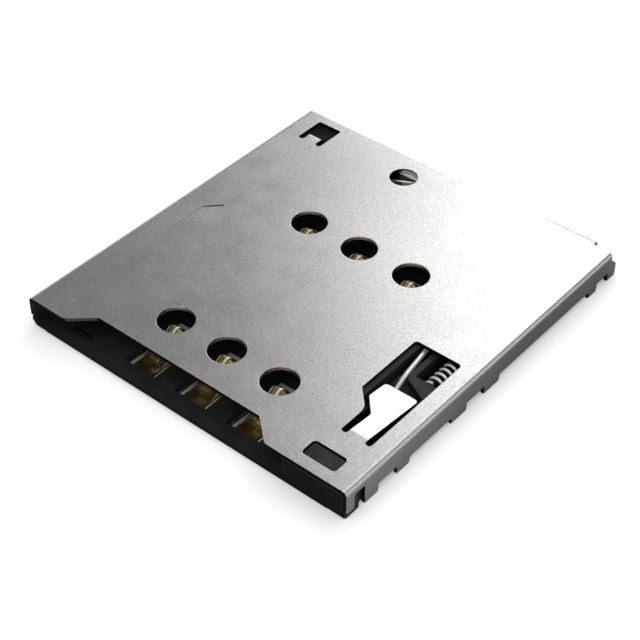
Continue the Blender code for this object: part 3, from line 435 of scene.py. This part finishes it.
def contact_gold(name, middle, front):
    """Gold flash on the beam and cross bars, tinned rails painted bright as highlight towards their front,
    painted shadow lines beside the rails and on the curled tip, painted highlight lines along the beam's
    edges, and a back bar painted pale as glow.
    """
    material, tree = new_material(name)
    place = tree.place()
    across, along, up = tree.split(place)
    across = tree.math("SUBTRACT", across, middle)
    along = tree.math("SUBTRACT", along, front)
    stain = tree.noise(place, scale=2.6, detail=5, roughness=0.6)
    dark_gold, pale_gold = (0.36, (0.13, 0.095, 0.035)), (0.66, (0.95, 0.85, 0.5))
    on_frame = tree.ramp(stain, dark_gold, (0.5, (0.3, 0.2, 0.06)), (0.58, (0.5, 0.36, 0.11)), pale_gold)
    on_beam = tree.ramp(stain, (0.35, (0.16, 0.11, 0.04)), (0.65, (0.5, 0.38, 0.14)))
    # The rails' tinned grey, painted bright as highlight towards their front ends
    tin_and_highlight = tree.mix(tree.ramp(along, (0, 1), (RAIL_HIGHLIGHT_FADE, 0)), (0.3, 0.29, 0.27), (1, 0.99, 0.96))
    raised = tree.over(up, BEAM_LEVEL)
    far_rail = tree.band(across, *FAR_RAIL)
    # Painted shade on the beam's curled tip
    curl_shade = tree.both(tree.both(tree.band(along, *CURL_SHADE_ALONG), tree.band(across, *CURL_SHADE_ACROSS)), raised)
    # Painted highlight lines along the beam's edge and middle
    painted_highlight = tree.both(tree.either(tree.band(across, *BEAM_EDGE_HIGHLIGHT), tree.band(across, *BEAM_HIGHLIGHT_LINE)), raised)
    # The back bar painted pale as the glow seen through the hole
    back = tree.both(tree.over(along, BACK_GLOW_FROM), tree.band(across, *BACK_GLOW_ACROSS))
    colour = tree.mix(raised, on_frame, on_beam)
    # Layers of painted shadow lines, painted shade, painted highlight and painted glow over the base colour
    layers = (
        (tree.band(across, *NEAR_RAIL), tin_and_highlight),
        (tree.band(across, *NEAR_RAIL_SHADOW), (0.05, 0.045, 0.035)),
        (tree.band(across, *FAR_RAIL_SHADOW), (0.1, 0.08, 0.03)),
        (far_rail, tin_and_highlight),
        (curl_shade, (0.08, 0.06, 0.02)),
        (painted_highlight, (1, 0.97, 0.86)),
        (back, (0.95, 0.94, 0.96)),
    )
    for mask, layer in layers:
        colour = tree.mix(mask, colour, layer)
    # Less metal where the painted highlights, the pale painted back bar and the rails lie
    less_metal = tree.either(tree.either(back, painted_highlight), tree.either(tree.band(across, *BARE_RAIL), far_rail))
    metal = tree.ramp(less_metal, (0, 1), (1, 0.45))
    rough = tree.ramp(stain, (0.3, 0.42), (0.7, 0.26))
    normal = tree.bump(tree.noise(place, scale=16, detail=4), 0.15, 0.006 * MM, tree.round_edges(0.02 * MM))
    tree.surface(Base_Color=colour, Metallic=metal, Roughness=rough, Normal=normal)
    return material


def switch_surface(tree, stain, face, top, metal):
    """A stained sheet with one colour on its faces that look up and another on the rest, which paints light
    and shade by which way faces look.
    """
    colour = tree.mix(tree.over(tree.tilt()[2], 0.5), face, top)
    rough = tree.ramp(stain, (0.3, 0.34), (0.7, 0.22))
    normal = tree.bump(stain, 0.1, 0.004 * MM)
    tree.surface(Base_Color=colour, Metallic=metal, Roughness=rough, Normal=normal)


def switch_metal():
    """Silvered switch plate: painted pale as highlight on its upper faces and dark as shade on its other
    faces.
    """
    material, tree = new_material("switch_silver")
    stain = tree.noise(tree.place(), scale=4, detail=4, roughness=0.6)
    # Painted highlight on the upper faces, painted shade on the others
    top = tree.ramp(stain, (0.3, (0.9, 0.89, 0.86)), (0.6, 1))
    face = tree.ramp(stain, (0.3, 0.07), (0.6, 0.16))
    switch_surface(tree, stain, face, top, 0.05)
    return material


def leaf_metal(end):
    """Gold-flashed switch leaf, bright only towards its contact end: a painted highlight band there, and its
    upper faces painted pale near that end and dark as shade away from it.
    """
    material, tree = new_material("switch_leaf_gold")
    place = tree.place()
    across = tree.split(place)[0]
    stain = tree.noise(place, scale=4, detail=4, roughness=0.6)
    leaf_gold_and_highlight = tree.ramp(stain, (0.3, (0.12, 0.09, 0.03)), (0.65, (0.3, 0.24, 0.1)))
    # Painted highlight band near the leaf's contact end
    leaf_gold_and_highlight = tree.mix(tree.band(across, end - LEAF_HIGHLIGHT, LEAF_HIGHLIGHT_HALF), leaf_gold_and_highlight, (1, 0.93, 0.7))
    # Upper faces painted pale near the contact end and dark as shade away from it
    top = tree.ramp(tree.math("SUBTRACT", end, across), (0.5, (1, 0.97, 1)), (0.85, (0.04, 0.04, 0.035)))
    switch_surface(tree, stain, leaf_gold_and_highlight, top, 0.2)
    return material


def paint(name, material):
    materials = NODES[name].data.materials
    materials.clear()
    materials.append(material)


def dress():
    low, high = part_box("contact_front_2")
    paint("shell", steel_sheet((low.x + high.x) / 2 / MM, low.y / MM + CONTACT_ROW))
    paint("housing", moulded_plastic("housing_plastic", 0.007, 0.02, HOUSING_PAINTED_LIGHT))
    paint("slider", moulded_plastic("slider_grey", 0.03, 0.2, SLIDER_PAINTED_LIGHT))
    paint("switch_plate", switch_metal())
    paint("switch_leaf", leaf_metal(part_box("switch_leaf")[1].x / MM))
    for row in ("front", "back"):
        for column in (1, 2, 3):
            name = f"contact_{row}_{column}"
            low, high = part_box(name)
            middle = (low.x + high.x) / 2 / MM
            paint(name, contact_gold(f"gold_{row}_{column}", middle, low.y / MM + CONTACT_TAIL))


# Wires: the return spring, as a coil, and the link


def joint_of(name):
    return next(joint for joint in frame["joints"] if joint["name"] == name)


def make_wire(name, points, half_wire, material):
    """A round wire through the points, as a smooth mesh."""
    curve = bpy.data.curves.new(name, "CURVE")
    curve.dimensions = "3D"
    curve.bevel_depth = half_wire
    curve.bevel_resolution = 4
    curve.use_fill_caps = True
    spline = curve.splines.new("POLY")
    spline.points.add(len(points) - 1)
    for target, point in zip(spline.points, points):
        target.co = (*point, 1)
    guide = bpy.data.objects.new(name + "_guide", curve)
    bpy.context.scene.collection.objects.link(guide)
    graph = bpy.context.evaluated_depsgraph_get()
    mesh = bpy.data.meshes.new_from_object(guide.evaluated_get(graph))
    bpy.data.objects.remove(guide)
    mesh.shade_smooth()
    wire = bpy.data.objects.new(name, mesh)
    wire.data.materials.append(material)
    bpy.context.scene.collection.objects.link(wire)
    return wire


def make_spring():
    low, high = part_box("return_spring")
    middle = (low + high) / 2
    radius = (high.z - low.z) / 2 - SPRING_HALF_WIRE
    front = low.y + SPRING_HALF_WIRE
    length = high.y - SPRING_HALF_WIRE - front
    points = []
    for i in range(SPRING_TURNS * TURN_STEPS + 1):
        turn = i / TURN_STEPS
        angle = 2 * math.pi * turn + math.pi / 2
        x = middle.x + radius * math.cos(angle)
        points.append((x, front + length * turn / SPRING_TURNS, middle.z + radius * math.sin(angle)))
    steel = wire_steel("spring_wire", 0.3, SPRING_SHADE_LEVEL)
    coil = make_wire("spring_coil", points, SPRING_HALF_WIRE, steel)
    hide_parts("return_spring")
    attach(coil, "base")
    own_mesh(coil)


def rounded_path(corners, reach):
    """The path through the corners, with a curve at each inner one that starts and ends one reach from it."""
    points = [corners[0]]
    for before, corner, after in zip(corners, corners[1:], corners[2:]):
        start = corner + (before - corner).normalized() * reach
        end = corner + (after - corner).normalized() * reach
        for i in range(ROUND_STEPS + 1):
            share = i / ROUND_STEPS
            points.append(start.lerp(corner, share).lerp(corner.lerp(end, share), share))
    return [*points, corners[-1]]


def make_link():
    pivot = Vector(joint_of("link_pivot")["pos_m"])
    points = rounded_path([pivot + Vector(corner) * MM for corner in LINK_PATH], LINK_ROUND * MM)
    wire = make_wire("link_wire", points, LINK_HALF_WIRE, wire_steel("link_wire", 0.55, LINK_SHADE_LEVEL))
    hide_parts("cam_link")
    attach(wire, "cam_link")


# Stage, light and camera


def direction(azimuth, elevation):
    """The way that points up from the middle at an elevation, with azimuth 0 along +Y and 90 along -X."""
    turn = math.radians(azimuth)
    rise = math.radians(elevation)
    return Vector((-math.sin(turn) * math.cos(rise), math.cos(turn) * math.cos(rise), math.sin(rise)))


def place_turned(name, data, way, turn, location):
    """Add a lamp or the camera, which looks along the way and is turned about it by degrees."""
    obj = bpy.data.objects.new(name, data)
    facing = way.to_track_quat("-Z", "Y").to_matrix() @ Matrix.Rotation(math.radians(turn), 3, "Z")
    obj.rotation_euler = facing.to_euler()
    obj.location = location
    bpy.context.scene.collection.objects.link(obj)
    return obj


def panel(name, azimuth, elevation, sides, radiance, upright=False, lean=0):
    """A soft lamp with sides in millimetres that faces the object or stands upright, and may lean."""
    width, height = (side * MM for side in sides)
    light = bpy.data.lights.new(name, "AREA")
    light.shape = "RECTANGLE"
    light.size = width
    light.size_y = height
    light.energy = radiance * math.pi * width * height
    way = direction(azimuth, elevation)
    back = direction(azimuth, 0) if upright else way
    place_turned(name, light, -back, lean, way * PANEL_DISTANCE)


def make_lights():
    panel("back_panel", 17.5, 37, (110, 200), 2.02, upright=True, lean=8)
    panel("top_panel", -60, 80, (160, 160), 0.6)
    panel("front_panel", 175, 58, (110, 110), 1.2)
    panel("corner_panel", -25, 55, (100, 60), 1.3)
    panel("rear_panel", 225, 25, (200, 110), 0.7)
    panel("side_strip", -56, 18, (80, 60), 1.3)
    panel("left_strip", 62, 14, (60, 30), 1.2)


def floor_material():
    """Pale paper that glows white to the camera and in reflections, less near the part as shade, and not
    under it, as a painted shadow.
    """
    material, tree = new_material("floor_white")
    place = tree.place()
    across, along = tree.split(place)[:2]
    path = tree.add("ShaderNodeLightPath").outputs
    seen = tree.either(tree.either(path["Is Camera Ray"], path["Is Glossy Ray"]), path["Is Transmission Ray"])
    # Painted shadow: no glow under the part, inside its edges
    open_x = tree.over(tree.math("ABSOLUTE", across), BOX_HIGH.x / MM - SHADOW_INSET)
    open_y = tree.over(tree.math("ABSOLUTE", along), BOX_HIGH.y / MM - SHADOW_INSET)
    seen = tree.both(seen, tree.either(open_x, open_y))
    nearby = tree.add("ShaderNodeAmbientOcclusion", {"samples": 8}, Distance=FLOOR_SHADE_REACH).outputs["AO"]
    shadow = tree.rest_of(tree.math("MULTIPLY", tree.rest_of(nearby), FLOOR_SHADE))
    metres_away = tree.math("DIVIDE", tree.math("SQRT", tree.square_away(across, along, (0, 0))), 1 / MM)
    glow = tree.math("ADD", FLOOR_GLOW, tree.ramp(metres_away, (FAR_FROM, 0), (FAR_TO, FAR_GLOW)))
    strength = tree.math("MULTIPLY", tree.both(seen, shadow), glow)
    colour = tree.ramp(tree.noise(place, scale=0.02, detail=2), (0.3, 0.86), (0.7, 0.88))
    tree.surface(Base_Color=colour, Roughness=0.9, Emission_Color=shade(1), Emission_Strength=strength)
    return material


def make_world():
    """Plain white to the camera, and grey as a light."""
    world = bpy.data.worlds.new("studio")
    bpy.context.scene.world = world
    tree = Tree(world)
    seen = tree.add("ShaderNodeLightPath").outputs["Is Camera Ray"]
    light = tree.add("ShaderNodeBackground", Color=shade(1), Strength=WORLD_GREY)
    white = tree.add("ShaderNodeBackground", Color=shade(1), Strength=1)
    studio = tree.add("ShaderNodeMixShader", Fac=seen)
    tree.feed(studio.inputs[1], light.outputs[0])
    tree.feed(studio.inputs[2], white.outputs[0])
    tree.add("ShaderNodeOutputWorld", Surface=studio.outputs[0])


def make_stage():
    bpy.ops.mesh.primitive_plane_add(size=FLOOR_SIZE)
    floor = bpy.context.object
    floor.name = "floor"
    floor.data.materials.append(floor_material())
    make_world()


def make_camera():
    data = bpy.data.cameras.new("camera")
    data.lens = CAMERA_LENS
    data.sensor_width = SENSOR_WIDTH
    data.clip_start = 1 * MM
    data.clip_end = 10
    way = direction(CAMERA_AZIMUTH, -CAMERA_ELEVATION)
    bpy.context.scene.camera = place_turned("camera", data, way, CAMERA_ROLL, CAMERA_PLACE)


bpy.context.scene.view_settings.view_transform = "Standard"
dress()
make_spring()
make_link()
make_stage()
make_lights()
make_camera()
